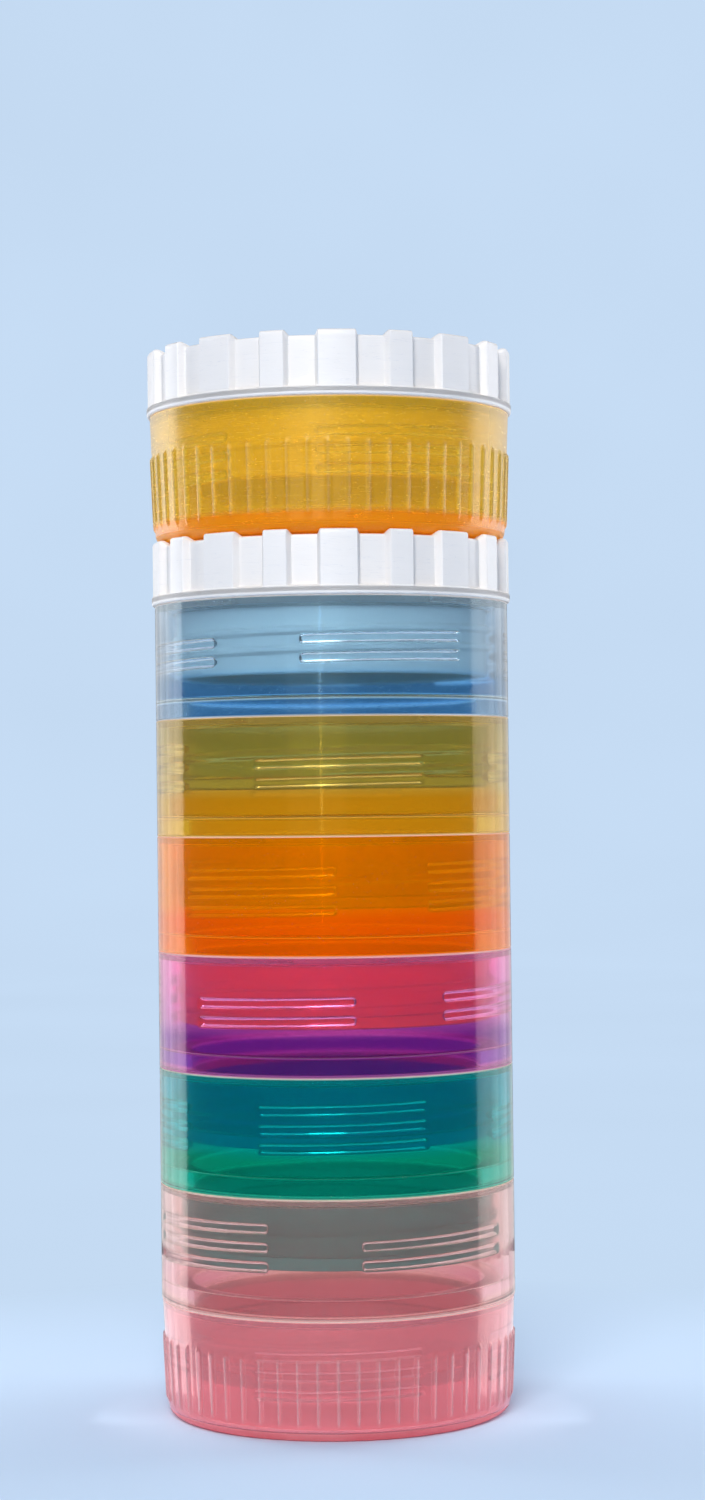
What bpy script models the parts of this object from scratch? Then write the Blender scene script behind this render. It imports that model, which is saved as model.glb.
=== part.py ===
# Stackable pill organizer: a ribbed base jar, six plain cups that screw into each other,
# a crowned cap, and a ribbed pocket jar with its own crowned cap, which stands on the first cap.
# Metres, +Z up, origin at the centre of the base jar's foot. Every piece is centred on the Z axis.

import math

import bmesh
import bpy

# Whole tower
SIDES = 24                      # flat sides that stand for a circle
GAP = 0.0003                    # clearance between pieces that touch
EDGE = 0.00025                  # small chamfer on moulded edges
OVERRUN = 0.0004                # depth to which an added rib or bar is sunk into its wall

# Plain cups
CUP_RADIUS = 0.0210
CUP_WALL = 0.0014
CUP_PITCH = 0.01365             # what one cup adds to the tower
CUP_FLOOR = 0.0012
LEDGE_HEIGHT = 0.0022
BOSS_DEPTH = 0.0083
BOSS_WALL = 0.0013

# Broken screw thread, the same at every seam
THREAD_LEAD = 0.00215           # climb of one full turn
THREAD_HEIGHT = 0.00075         # how far a bar stands out of its wall
THREAD_CLEARANCE = 0.0003       # from a bar's crest to the wall that it faces
BAR_FOOT = 0.00135              # height of a bar where it leaves its wall
BAR_CREST = 0.0005
BAR_SPAN = math.radians(59)
BARS_PER_TURN = 4
BAR_STEPS = 4
FEMALE_TURNS = 2
MALE_TURNS = 1
BAR_MARGIN = 0.0014             # boss's lower end to the middle of its lowest bar
FIRST_BAR_ANGLE = math.radians(-90)

# Mouths, each with an inner chamfer on which the wedge seal is seated
MOUTH_CHAMFER = 0.0008

# Ribbed jars
JAR_TAPER = 0.0006              # loss of radius from the mouth down to the foot
JAR_FOOT_ROUND = 0.0014
JAR_FOOT_STEPS = 3
RIDGES_PER_SIDE = 2
RIDGE_FOOT = 0.0006
RIDGE_HEIGHT = 0.00025
RIDGE_START = 0.0017            # above the jar's foot
BASE_HEIGHT = 0.01365
BASE_INSET = 0.0001             # base jar's mouth inside the cups' radius
BASE_FLOOR = 0.0010
BASE_BAND = 0.0041              # plain band between the ridges and the mouth
POCKET_HEIGHT = 0.0153
POCKET_OUTSET = 0.0004          # pocket jar's mouth outside the cups' radius
POCKET_FLOOR = 0.0022
POCKET_BAND = 0.0047

# Crowned caps
CAP_PLUG_DEPTH = 0.0088
CAP_PLATE = 0.0012              # thickness of the top plate
CAP_FACE_HEIGHT = 0.0069        # seam to the top face
RING_HEIGHT = 0.00095
RING_OUTSET = 0.00036           # ring outside the mouth that it closes
CROWN_DEPTH = 0.0010            # ring edge in to the wall between the ribs
CROWN_INSET = 0.0001            # ring edge in to the ribs' faces
CROWN_RISE = 0.00055            # ribs above the top face
RIB_TOP_CHAMFER = 0.0002
RIB_LIP_FOOT = 0.0002           # wall edge in to where a rib's inner slope starts
RIB_PAIRS = 9
RIB_FLANK = math.radians(1.0)   # width of each sloping flank
WIDE_RIB = math.radians(10.5)
NARROW_RIB = math.radians(6.5)
FIRST_RIB_ANGLE = math.radians(-87)

# Magnets, their covers and the keeper
MAGNET_RADIUS = 0.0060
MAGNET_HEIGHT = 0.0020
COVER_HEIGHT = 0.0008
SOCKET_WALL = 0.0011
KEEPER_RADIUS = 0.0075
KEEPER_HEIGHT = 0.0008

MERGE_DISTANCE = 0.000001
SMOOTH_ANGLE = math.radians(25)
TURN = math.tau
HALF_GAP = GAP / 2

# Sizes that follow from those above
BORE_RADIUS = CUP_RADIUS - CUP_WALL
BOSS_RADIUS = BORE_RADIUS - THREAD_HEIGHT - THREAD_CLEARANCE
WELL_RADIUS = BOSS_RADIUS - BOSS_WALL
MALE_BAR_DEPTH = BOSS_DEPTH - BAR_MARGIN
BASE_MOUTH_RADIUS = CUP_RADIUS - BASE_INSET
POCKET_MOUTH_RADIUS = CUP_RADIUS + POCKET_OUTSET
STACK_RING_RADIUS = CUP_RADIUS + RING_OUTSET
POCKET_RING_RADIUS = POCKET_MOUTH_RADIUS + RING_OUTSET
SOCKET_DEPTH = MAGNET_HEIGHT + COVER_HEIGHT + GAP + GAP
KEEPER_RECESS = KEEPER_HEIGHT + GAP
CROWN_TOP = CAP_FACE_HEIGHT + CROWN_RISE

CUPS = ("rose", "green", "purple", "orange", "yellow", "blue")

# Colour, roughness and metallic value of each finish
FINISHES = {
    "rose": ((0.72, 0.17, 0.20, 0.75), 0.25, 0.0),
    "green": ((0.00, 0.30, 0.13, 0.75), 0.25, 0.0),
    "purple": ((0.18, 0.03, 0.36, 0.75), 0.25, 0.0),
    "orange": ((0.95, 0.16, 0.01, 0.75), 0.25, 0.0),
    "yellow": ((0.75, 0.38, 0.02, 0.75), 0.25, 0.0),
    "blue": ((0.03, 0.13, 0.40, 0.75), 0.25, 0.0),
    "amber": ((0.80, 0.42, 0.02, 0.75), 0.30, 0.0),
    "white": ((0.88, 0.88, 0.88, 1.0), 0.35, 0.0),
    "clear_rubber": ((0.80, 0.80, 0.76, 0.8), 0.50, 0.0),
    "nickel": ((0.62, 0.60, 0.56, 1.0), 0.25, 1.0),
    "steel": ((0.55, 0.56, 0.58, 1.0), 0.35, 1.0),
}


def clear_scene():
    for old in list(bpy.data.objects):
        bpy.data.objects.remove(old, do_unlink=True)


def finish_material(piece_name, finish):
    colour, roughness, metallic = FINISHES[finish]
    material = bpy.data.materials.new(piece_name + "_" + finish)
    material.use_nodes = True
    shader = material.node_tree.nodes["Principled BSDF"]
    shader.inputs["Base Color"].default_value = colour
    shader.inputs["Alpha"].default_value = colour[3]
    shader.inputs["Roughness"].default_value = roughness
    shader.inputs["Metallic"].default_value = metallic
    material.diffuse_color = colour
    return material


def mesh_from(bm, name):
    bmesh.ops.remove_doubles(bm, verts=bm.verts, dist=MERGE_DISTANCE)
    bmesh.ops.recalc_face_normals(bm, faces=bm.faces)
    mesh = bpy.data.meshes.new(name)
    bm.to_mesh(mesh)
    bm.free()
    return mesh


def turned(name, outline, closed=False):
    # Spins an outline of (radius, height) points once round the Z axis.
    # An open outline starts and ends on the axis; a closed one makes a ring.
    bm = bmesh.new()
    points = [bm.verts.new((radius, 0, height)) for radius, height in outline]
    edges = [bm.edges.new(pair) for pair in zip(points, points[1:])]
    if closed:
        edges.append(bm.edges.new((points[-1], points[0])))
    bmesh.ops.spin(bm, geom=points + edges, axis=(0, 0, 1), cent=(0, 0, 0),
                   steps=SIDES, angle=TURN, use_merge=True)
    return mesh_from(bm, name)


def loft(bm, sections):
    # Joins a row of sections, each a ring of (angle, radius, height) points, and caps both ends.
    rings = []
    for section in sections:
        rings.append([bm.verts.new((radius * math.cos(angle), radius * math.sin(angle), height))
                      for angle, radius, height in section])
    for near, far in zip(rings, rings[1:]):
        for index in range(len(near)):
            following = (index + 1) % len(near)
            bm.faces.new((near[index], near[following], far[following], far[index]))
    bm.faces.new(rings[0])
    bm.faces.new(reversed(rings[-1]))


def bar_section(angle, height, foot_radius, crest_radius):
    # A bar's cross-section: its sloping faces run on into the wall behind it.
    slope = (BAR_FOOT - BAR_CREST) / 2 / abs(crest_radius - foot_radius)
    sunk = math.copysign(OVERRUN, foot_radius - crest_radius)
    sunk_half = BAR_FOOT / 2 + OVERRUN * slope
    crest_half = BAR_CREST / 2
    return ((angle, foot_radius + sunk, height - sunk_half),
            (angle, crest_radius, height - crest_half),
            (angle, crest_radius, height + crest_half),
            (angle, foot_radius + sunk, height + sunk_half))


def thread_bars(name, foot_radius, crest_radius, first_height, turns):
    # A right-hand thread broken into bars: each bar follows a stretch of one helix.
    bm = bmesh.new()
    for number in range(turns * BARS_PER_TURN):
        start = number * TURN / BARS_PER_TURN
        sections = []
        for step in range(BAR_STEPS + 1):
            swept = start + BAR_SPAN * step / BAR_STEPS
            height = first_height + THREAD_LEAD * swept / TURN
            sections.append(bar_section(FIRST_BAR_ANGLE + swept, height, foot_radius, crest_radius))
        loft(bm, sections)
    return mesh_from(bm, name)


def male_bars(name):
    return thread_bars(name, BOSS_RADIUS, BOSS_RADIUS + THREAD_HEIGHT, -MALE_BAR_DEPTH, MALE_TURNS)


def female_bars(name, seam_height):
    # Half a lead below the male bars of the piece above, so each lies between two of the other.
    return thread_bars(name, BORE_RADIUS, BORE_RADIUS - THREAD_HEIGHT,
                       seam_height - MALE_BAR_DEPTH - THREAD_LEAD / 2, FEMALE_TURNS)


def foot_radius(mouth_radius):
    return mouth_radius - JAR_TAPER


def wall_radius_at(height, mouth_radius, jar_height):
    # The jar's plain wall widens evenly from its foot to its mouth.
    return foot_radius(mouth_radius) + JAR_TAPER * height / jar_height


def foot_outline(mouth_radius, jar_height):
    # A quarter round from the wall in under the jar, from top to bottom.
    centre = wall_radius_at(JAR_FOOT_ROUND, mouth_radius, jar_height) - JAR_FOOT_ROUND
    points = []
    for step in range(JAR_FOOT_STEPS + 1):
        angle = math.pi / 2 * step / JAR_FOOT_STEPS
        points.append((centre + JAR_FOOT_ROUND * math.cos(angle),
                       JAR_FOOT_ROUND - JAR_FOOT_ROUND * math.sin(angle)))
    return points


def ridge_section(angle, radius, crest_height, foot_height):
    # A ridge's cross-section: two points sunk in the wall and one crest.
    foot_half = RIDGE_FOOT / 2 / radius
    return ((angle - foot_half, radius - OVERRUN, foot_height),
            (angle, radius + RIDGE_HEIGHT, crest_height),
            (angle + foot_half, radius - OVERRUN, foot_height))


def jar_ridges(name, mouth_radius, jar_height, band):
    # Upright grip ridges, evenly spread over the flat sides, with sloping ends.
    bm = bmesh.new()
    flat = math.cos(math.pi / SIDES) / math.cos(math.pi / SIDES / RIDGES_PER_SIDE)
    top = jar_height - band
    lower = wall_radius_at(RIDGE_START, mouth_radius, jar_height) * flat
    upper = wall_radius_at(top, mouth_radius, jar_height) * flat
    count = SIDES * RIDGES_PER_SIDE
    for number in range(count):
        angle = (number + 1 / RIDGES_PER_SIDE) * TURN / count
        loft(bm, (ridge_section(angle, lower, RIDGE_START + RIDGE_HEIGHT, RIDGE_START),
                  ridge_section(angle, upper, top - RIDGE_HEIGHT, top)))
    return mesh_from(bm, name)


def lip_radius():
    # The crown's lip clears the rounded foot of the jar that stands inside it.
    below_centre = JAR_FOOT_ROUND + GAP - CROWN_RISE
    reach = math.sqrt(JAR_FOOT_ROUND ** 2 - below_centre ** 2)
    centre = wall_radius_at(JAR_FOOT_ROUND, POCKET_MOUTH_RADIUS, POCKET_HEIGHT) - JAR_FOOT_ROUND
    return centre + reach + GAP


def full_rib_section(angle, ring_radius):
    # A crown rib's section in a plane through the axis, from its sunk foot over its lip.
    inside = ring_radius - CROWN_DEPTH - RIB_LIP_FOOT - OVERRUN
    bottom = RING_HEIGHT - OVERRUN
    face = ring_radius - CROWN_INSET
    lip = lip_radius() - STACK_RING_RADIUS + ring_radius
    return ((angle, inside, bottom),
            (angle, inside, CAP_FACE_HEIGHT - OVERRUN),
            (angle, lip, CROWN_TOP),
            (angle, face - RIB_TOP_CHAMFER, CROWN_TOP),
            (angle, face, CROWN_TOP - RIB_TOP_CHAMFER),
            (angle, face, bottom))


def sunk_rib_section(angle, ring_radius):
    # The same section drawn in, so that the rib's flank runs into the cap's wall.
    outside = ring_radius - CROWN_DEPTH - RIB_LIP_FOOT
    bottom = RING_HEIGHT - OVERRUN
    top = CAP_FACE_HEIGHT - OVERRUN
    return ((angle, outside - OVERRUN, bottom),
            (angle, outside - OVERRUN, top - EDGE),
            (angle, outside - EDGE, top),
            (angle, outside - EDGE / 2, top),
            (angle, outside, top - EDGE),
            (angle, outside, bottom))


def crown_ribs(name, ring_radius):
    # Wide and narrow ribs in turn, with sloping flanks, standing on the cap's ring.
    bm = bmesh.new()
    count = 2 * RIB_PAIRS
    for number in range(count):
        centre = FIRST_RIB_ANGLE + number * TURN / count
        half = (NARROW_RIB if number % 2 else WIDE_RIB) / 2
        loft(bm, (sunk_rib_section(centre - half - RIB_FLANK, ring_radius),
                  full_rib_section(centre - half, ring_radius),
                  full_rib_section(centre + half, ring_radius),
                  sunk_rib_section(centre + half + RIB_FLANK, ring_radius)))
    return mesh_from(bm, name)


def united(mesh, additions):
    # Joins a turned body with its bars, ridges or ribs into one closed body.
    body = bpy.data.objects.new(mesh.name + "_body", mesh)
    bpy.context.collection.objects.link(body)
    helpers = [body]
    for addition in additions:
        tool = bpy.data.objects.new(addition.name + "_tool", addition)
        tool.hide_render = True
        tool.display_type = "WIRE"
        bpy.context.collection.objects.link(tool)
        helpers.append(tool)
        union = body.modifiers.new("union", "BOOLEAN")
        union.operation = "UNION"
        union.object = tool
    depsgraph = bpy.context.evaluated_depsgraph_get()
    joined = bpy.data.meshes.new_from_object(body.evaluated_get(depsgraph))
    joined.name = mesh.name
    for helper in helpers:
        bpy.data.objects.remove(helper, do_unlink=True)
    return joined


def place(name, mesh, finish, height, parent=None):
    # Height is that of the piece's own origin above its parent's.
    piece = bpy.data.objects.new(name, mesh)
    bpy.context.collection.objects.link(piece)
    mesh.shade_smooth()
    mesh.set_sharp_from_angle(angle=SMOOTH_ANGLE)
    if not mesh.materials:
        mesh.materials.append(None)
    piece.material_slots[0].link = "OBJECT"
    piece.material_slots[0].material = finish_material(name, finish)
    piece.parent = parent
    piece.location = (0, 0, height)
    return piece


def mouth_outline(outer_radius, seam):
    # From the bore up over a chamfered mouth to the outer wall, half a gap below the seam.
    rim = seam - HALF_GAP
    return [(BORE_RADIUS, rim - MOUTH_CHAMFER),
            (BORE_RADIUS + MOUTH_CHAMFER, rim),
            (outer_radius - EDGE, rim),
            (outer_radius, rim - EDGE)]


def cup_mesh():
    # The cup's origin lies on the axis at its lower seam.
    floor = CUP_FLOOR - BOSS_DEPTH
    outline = [(0, floor), (WELL_RADIUS, floor), (WELL_RADIUS, LEDGE_HEIGHT), (BORE_RADIUS, LEDGE_HEIGHT)]
    outline += mouth_outline(CUP_RADIUS, CUP_PITCH)
    outline += [(CUP_RADIUS, HALF_GAP + EDGE), (CUP_RADIUS - EDGE, HALF_GAP),
                (BOSS_RADIUS, HALF_GAP), (BOSS_RADIUS, -BOSS_DEPTH), (0, -BOSS_DEPTH)]
    bars = (female_bars("cup_female_bars", CUP_PITCH), male_bars("cup_male_bars"))
    return united(turned("cup", outline), bars)


def jar_mesh(name, jar_height, mouth_radius, band, floor, recess):
    # The jar's origin lies on the axis at its foot. A recess holds a disc let in from below.
    outline = [(0, floor), (BORE_RADIUS, floor)]
    outline += mouth_outline(mouth_radius, jar_height)
    outline += foot_outline(mouth_radius, jar_height)
    if recess:
        outline += [(recess[0], 0), recess, (0, recess[1])]
    else:
        outline += [(0, 0)]
    additions = (female_bars(name + "_female_bars", jar_height),
                 jar_ridges(name + "_ridges", mouth_radius, jar_height, band))
    return united(turned(name, outline), additions)


def cap_mesh(name, ring_radius):
    # The cap's origin lies on the axis at its seam.
    plate_under = CAP_FACE_HEIGHT - CAP_PLATE
    socket_radius = MAGNET_RADIUS + GAP
    socket_bottom = plate_under - SOCKET_DEPTH
    wall_radius = ring_radius - CROWN_DEPTH
    outline = [(0, plate_under), (socket_radius, plate_under), (socket_radius, socket_bottom),
               (socket_radius + SOCKET_WALL, socket_bottom), (socket_radius + SOCKET_WALL, plate_under),
               (WELL_RADIUS, plate_under), (WELL_RADIUS, -CAP_PLUG_DEPTH),
               (BOSS_RADIUS, -CAP_PLUG_DEPTH), (BOSS_RADIUS, HALF_GAP),
               (ring_radius - EDGE, HALF_GAP), (ring_radius, HALF_GAP + EDGE),
               (ring_radius, RING_HEIGHT), (wall_radius, RING_HEIGHT + EDGE),
               (wall_radius, CAP_FACE_HEIGHT - EDGE), (wall_radius - EDGE, CAP_FACE_HEIGHT),
               (0, CAP_FACE_HEIGHT)]
    additions = (male_bars(name + "_male_bars"), crown_ribs(name + "_ribs", ring_radius))
    return united(turned(name, outline), additions)


def seal_mesh():
    # A wedge ring round the boss, its sloping face parallel to the mouth's chamfer.
    inner = BOSS_RADIUS + GAP
    top = HALF_GAP - GAP
    outer = BORE_RADIUS + MOUTH_CHAMFER - GAP * math.sqrt(2)
    return turned("seal", [(inner, top), (outer, top), (inner, top - (outer - inner))], closed=True)


def disc_mesh(name, radius, height):
    return turned(name, [(0, height), (radius, height), (radius, 0), (0, 0)])


def add_magnet(cap_name, cap, magnet, cover):
    # The magnet lies under the cap's plate, and its cover closes the socket flush.
    cover_height = CAP_FACE_HEIGHT - CAP_PLATE - SOCKET_DEPTH
    place(cap_name + "_magnet_cover", cover, "white", cover_height, cap)
    place(cap_name + "_magnet", magnet, "nickel", cover_height + COVER_HEIGHT + GAP, cap)


def build():
    clear_scene()
    cup = cup_mesh()
    seal = seal_mesh()
    magnet = disc_mesh("magnet", MAGNET_RADIUS, MAGNET_HEIGHT)
    cover = disc_mesh("cover", MAGNET_RADIUS, COVER_HEIGHT)
    base = jar_mesh("base_jar", BASE_HEIGHT, BASE_MOUTH_RADIUS, BASE_BAND, BASE_FLOOR, None)
    carrier = place("base_jar", base, "rose", 0)
    seam = BASE_HEIGHT
    for colour in CUPS:
        ring = place(colour + "_seal", seal, "clear_rubber", seam, carrier)
        carrier = place(colour + "_cup", cup, colour, 0, ring)
        seam = CUP_PITCH
    ring = place("stack_cap_seal", seal, "clear_rubber", seam, carrier)
    stack_cap = place("stack_cap", cap_mesh("stack_cap", STACK_RING_RADIUS), "white", 0, ring)
    add_magnet("stack_cap", stack_cap, magnet, cover)
    keeper_mesh = disc_mesh("keeper", KEEPER_RADIUS, KEEPER_HEIGHT)
    keeper = place("pocket_jar_keeper", keeper_mesh, "steel", CAP_FACE_HEIGHT + GAP, stack_cap)
    recess = (KEEPER_RADIUS + GAP, KEEPER_RECESS)
    pocket = jar_mesh("pocket_jar", POCKET_HEIGHT, POCKET_MOUTH_RADIUS, POCKET_BAND,
                      POCKET_FLOOR, recess)
    pocket_jar = place("pocket_jar", pocket, "amber", 0, keeper)
    ring = place("pocket_cap_seal", seal, "clear_rubber", POCKET_HEIGHT, pocket_jar)
    pocket_cap = place("pocket_cap", cap_mesh("pocket_cap", POCKET_RING_RADIUS), "white", 0, ring)
    add_magnet("pocket_cap", pocket_cap, magnet, cover)


build()
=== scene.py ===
import math

import bpy
import numpy as np
from mathutils import Matrix, Vector


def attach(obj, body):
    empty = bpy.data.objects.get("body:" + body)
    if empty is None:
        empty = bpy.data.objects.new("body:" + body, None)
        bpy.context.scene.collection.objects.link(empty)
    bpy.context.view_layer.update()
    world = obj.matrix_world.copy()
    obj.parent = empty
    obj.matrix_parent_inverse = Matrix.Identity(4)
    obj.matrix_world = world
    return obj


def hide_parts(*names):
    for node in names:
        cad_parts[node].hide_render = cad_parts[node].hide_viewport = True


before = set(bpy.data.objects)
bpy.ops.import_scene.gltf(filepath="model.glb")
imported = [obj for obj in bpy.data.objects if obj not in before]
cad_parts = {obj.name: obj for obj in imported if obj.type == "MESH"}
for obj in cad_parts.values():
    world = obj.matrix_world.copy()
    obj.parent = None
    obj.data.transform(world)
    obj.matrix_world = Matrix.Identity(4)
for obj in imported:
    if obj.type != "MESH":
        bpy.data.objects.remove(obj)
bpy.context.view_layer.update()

# Sizes that several pieces share, in metres
tower = {
    "cupRadius": 0.0210,
    "bore": 0.0196,  # inside radius of every threaded mouth
    "boss": 0.01855,  # outside radius of every screw boss
    "well": 0.01725,  # inside radius of every boss
    "pitch": 0.01365,  # what one cup adds to the tower
    "bossDepth": 0.0083,
    "seamGap": 0.00004,  # what is seen between two screwed pieces
    "mouthChamfer": 0.0008,
    "clearance": 0.0003,  # under the pocket jar and round the small parts
    "guard": 0.00003,  # from a fillet's end to the next station
    "straight": math.radians(1),  # a corner that turns less than this counts as straight
    "same": 1e-6,  # stations this near to a radius or height lie on it
    "near": 1e-5,
}

# How far apart the stations lie along the straight runs of a section
spacing = {"edge": 0.0002, "chamfer": 0.0003, "jarWall": 0.00035, "rim": 0.0004, "lip": 0.0005,
           "rise": 0.0006, "step": 0.0008, "socket": 0.001, "wall": 0.0012, "floor": 0.002, "flat": 0.003}
# Radii of the small fillets
rounding = {"rim": 0.00008, "small": 0.0001, "seam": 0.00012, "edge": 0.00015, "lip": 0.0002,
            "round": 0.0003, "boss": 0.00035}

# The broken thread in each mouth and the long thread on each boss, of the same lead
thread = {
    "lead": 0.00215, "barHeight": 0.00075, "barSpan": math.radians(59), "barSpacing": math.radians(90),
    "barFoot": 0.00066,  # half the bar's height at its wall
    "barCrest": 0.00025,
    "cornering": 3.0,  # 2 gives round bar ends, more gives squarer ones
    "pastEnd": math.radians(2),  # rows follow a bar this far past its end
    "endBefore": math.radians(2.6),  # columns crowd from here before a bar's end
    "endAfter": math.radians(1.2),  # to here after it
    "columns": (18, 11, 10),  # from a bar's middle, round its end, and half way to the next
    "bars": 10,
    "deepestBar": 0.0085,  # below the seam, at the first bar's middle
    "firstBar": math.radians(90), "ridgeHeight": 0.00050, "ridgeFoot": 0.00058, "ridgeCrest": 0.00016,
    "ridgeOffset": 0.5,  # leads from the bars' helix
    "ridgeStart": 0.45,  # turns past the first bar
    "ridgeTurns": 1.6, "ridgeEnd": math.radians(20),
    "shiftFade": 0.0009,  # over this way from the bore's ends the rows turn level
}


def roundedOutline(corners, arcSteps=4):
    # Each corner row is radius, height, fillet and spacing, the last two by name or as a number. A
    # fillet swaps its corner for the arc that touches both sides: centre on the bisector, fillet /
    # sin(half angle) away. A corner that hardly turns spreads its points along the line instead. The
    # straight runs between are divided evenly, by their first corner's spacing, with one more point
    # close to each end, which keeps the fillet's shading off the run.
    rows = np.array([c[:2] for c in corners], float)
    pieces, line = [], []
    for index, corner in enumerate(corners):
        here, fillet = rows[index], rounding.get(corner[2], corner[2])
        if fillet == 0:
            pieces.append(here[None])
            continue
        before = rows[index - 1] - here
        after = rows[(index + 1) % len(rows)] - here
        before, after = before / np.hypot(*before), after / np.hypot(*after)
        half = math.acos(np.clip(before @ after, -1, 1)) / 2
        share = np.linspace(0, 1, arcSteps + 1)[:, None]
        if math.pi - 2 * half < tower["straight"]:
            pieces.append(here + fillet * ((1 - share) * before + share * after))
            continue
        middle = here + (before + after) / np.hypot(*(before + after)) * fillet / math.sin(half)
        first = here + before * fillet / math.tan(half) - middle
        last = here + after * fillet / math.tan(half) - middle
        sweep = math.pi - 2 * half
        pieces.append(middle + (np.sin((1 - share) * sweep) * first + np.sin(share * sweep) * last)
                      / math.sin(sweep))
    for index, piece in enumerate(pieces):
        line.append(piece)
        start, stop = piece[-1], pieces[(index + 1) % len(pieces)][0]
        length, run = np.hypot(*(stop - start)), corners[index][3]
        run = spacing.get(run, run)
        if not run or length < tower["guard"] * 4:
            continue
        count, guard = int(length / run), tower["guard"] / length
        shares = np.arange(1, count) / max(count, 1)
        shares = shares[(shares > guard * 2) & (shares < 1 - guard * 2)]
        shares = np.concatenate([[guard], shares, [1 - guard]])
        line.append(start + (stop - start) * shares[:, None])
    return np.concatenate(line)


def turnedMesh(name, radius, height, angle, ring=False, crease=80):
    # A grid of stations by columns: column angle a, seen from above and counted from the front,
    # puts a station at x = radius sin a, y = -radius cos a, z = height. The first and last stations
    # close on the axis, or on each other when the section is a ring.
    stations, columns = radius.shape
    if ring:
        keep = slice(0, stations)
    else:
        keep = slice(1, stations - 1)
    r, h = radius[keep], height[keep]
    points = np.stack([r * np.sin(angle), -r * np.cos(angle), h], axis=-1).reshape(-1, 3)
    rows = len(r)
    index = np.arange(rows * columns).reshape(rows, columns)
    if ring:
        near, far = index, np.roll(index, -1, axis=0)
    else:
        near, far = index[:-1], index[1:]
    quads = np.stack([near, np.roll(near, -1, axis=1), np.roll(far, -1, axis=1), far],
                     axis=-1).reshape(-1, 4)
    loops, sizes = [quads.ravel()], [np.full(len(quads), 4)]
    if not ring:
        low, high = len(points), len(points) + 1
        points = np.concatenate([points, [[0, 0, height[0].mean()]], [[0, 0, height[-1].mean()]]])
        first, last = index[0], index[-1]
        fans = [np.stack([np.full(columns, low), np.roll(first, -1), first], axis=-1),
                np.stack([last, np.roll(last, -1), np.full(columns, high)], axis=-1)]
        loops += [fan.ravel() for fan in fans]
        sizes += [np.full(columns, 3)] * 2
    return arrayMesh(name, points, np.concatenate(loops), np.concatenate(sizes), crease)


def arrayMesh(name, points, loops, sizes, crease=80):
    # Points, the corners of all faces in a row, and each face's number of corners make one mesh.
    mesh = bpy.data.meshes.new(name)
    mesh.vertices.add(len(points))
    mesh.loops.add(len(loops))
    mesh.polygons.add(len(sizes))
    mesh.vertices.foreach_set("co", np.ascontiguousarray(points, np.float32).ravel())
    mesh.loops.foreach_set("vertex_index", loops.astype(np.int32))
    mesh.polygons.foreach_set("loop_start", (np.cumsum(sizes) - sizes).astype(np.int32))
    mesh.update(calc_edges=True)
    mesh.shade_smooth()
    mesh.set_sharp_from_angle(angle=math.radians(crease))
    return mesh


def easeIn(value):
    # Smooth step: 0 below 0, 1 above 1, 3 v squared minus 2 v cubed between.
    value = np.clip(value, 0, 1)
    return value * value * (3 - 2 * value)


def brokenThread(depth, angle, phase, wallRadius):
    # The helix passes depth = deepest bar - lead * turns from the first bar. A point is unrolled to
    # the turn that lies nearest to it, then to the nearest of the bars on that turn. Its distance in a
    # rounded box round the bar's middle line gives the bar's sloping side.
    passed = angle - phase - thread["firstBar"]
    turns = (thread["deepestBar"] - depth) / thread["lead"]
    unrolled = passed + math.tau * np.round(turns - passed / math.tau)
    number = np.clip(np.round(unrolled / thread["barSpacing"]), 0, thread["bars"] - 1)
    aside = (unrolled / math.tau - turns) * thread["lead"]
    along = np.abs(unrolled - number * thread["barSpacing"]) - thread["barSpan"] / 2
    along = np.maximum(along * wallRadius + thread["barFoot"], 0)
    power = thread["cornering"]
    away = (along ** power + np.abs(aside) ** power) ** (1 / power)
    return easeIn((thread["barFoot"] - away) / (thread["barFoot"] - thread["barCrest"]))


def longThread(depth, angle, phase):
    # One unbroken ridge beside the bars' helix, unrolled in the same way: its height falls off with
    # the distance from the helix, and over the last degrees at both ends.
    passed = angle - phase - thread["firstBar"]
    start = thread["deepestBar"] - thread["lead"] * thread["ridgeOffset"]
    turns = (start - depth) / thread["lead"]
    unrolled = passed + math.tau * np.round(turns - passed / math.tau)
    aside = np.abs(unrolled / math.tau - turns) * thread["lead"]
    side = easeIn((thread["ridgeFoot"] - aside) / (thread["ridgeFoot"] - thread["ridgeCrest"]))
    first = math.tau * thread["ridgeStart"]
    last = first + math.tau * thread["ridgeTurns"]
    ends = easeIn((unrolled - first) / thread["ridgeEnd"]) * easeIn((last - unrolled) / thread["ridgeEnd"])
    return side * ends


def barShift(angle, phase):
    # How far a row of points climbs to stay on one bar: the angle from the nearest bar's middle, up to
    # just past the bar's end, then back to nothing half way to the next bar, times the lead per radian.
    half, reach = thread["barSpacing"] / 2, thread["barSpan"] / 2 + thread["pastEnd"]
    aside = (angle - phase - thread["firstBar"] + half) % thread["barSpacing"] - half
    back = np.sign(aside) * reach * (half - np.abs(aside)) / (half - reach)
    return np.where(np.abs(aside) < reach, aside, back) * thread["lead"] / math.tau


def barColumns(phase):
    # Columns crowd at the bars' rounded ends; along the bars and between them they are wider apart.
    half, end = thread["barSpacing"] / 2, thread["barSpan"] / 2
    stops = (0, end - thread["endBefore"], end + thread["endAfter"], half)
    side = np.concatenate([np.linspace(first, last, count)[1:]
                           for first, last, count in zip(stops, stops[1:], thread["columns"])])
    sector = np.concatenate([-side[:-1][::-1], [0], side])
    sectors = np.arange(round(math.tau / thread["barSpacing"]))[:, None] * thread["barSpacing"]
    return np.sort((phase + thread["firstBar"] + sectors + sector).ravel() % math.tau)


def evenColumns(count):
    return np.arange(count) / count * math.tau


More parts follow.
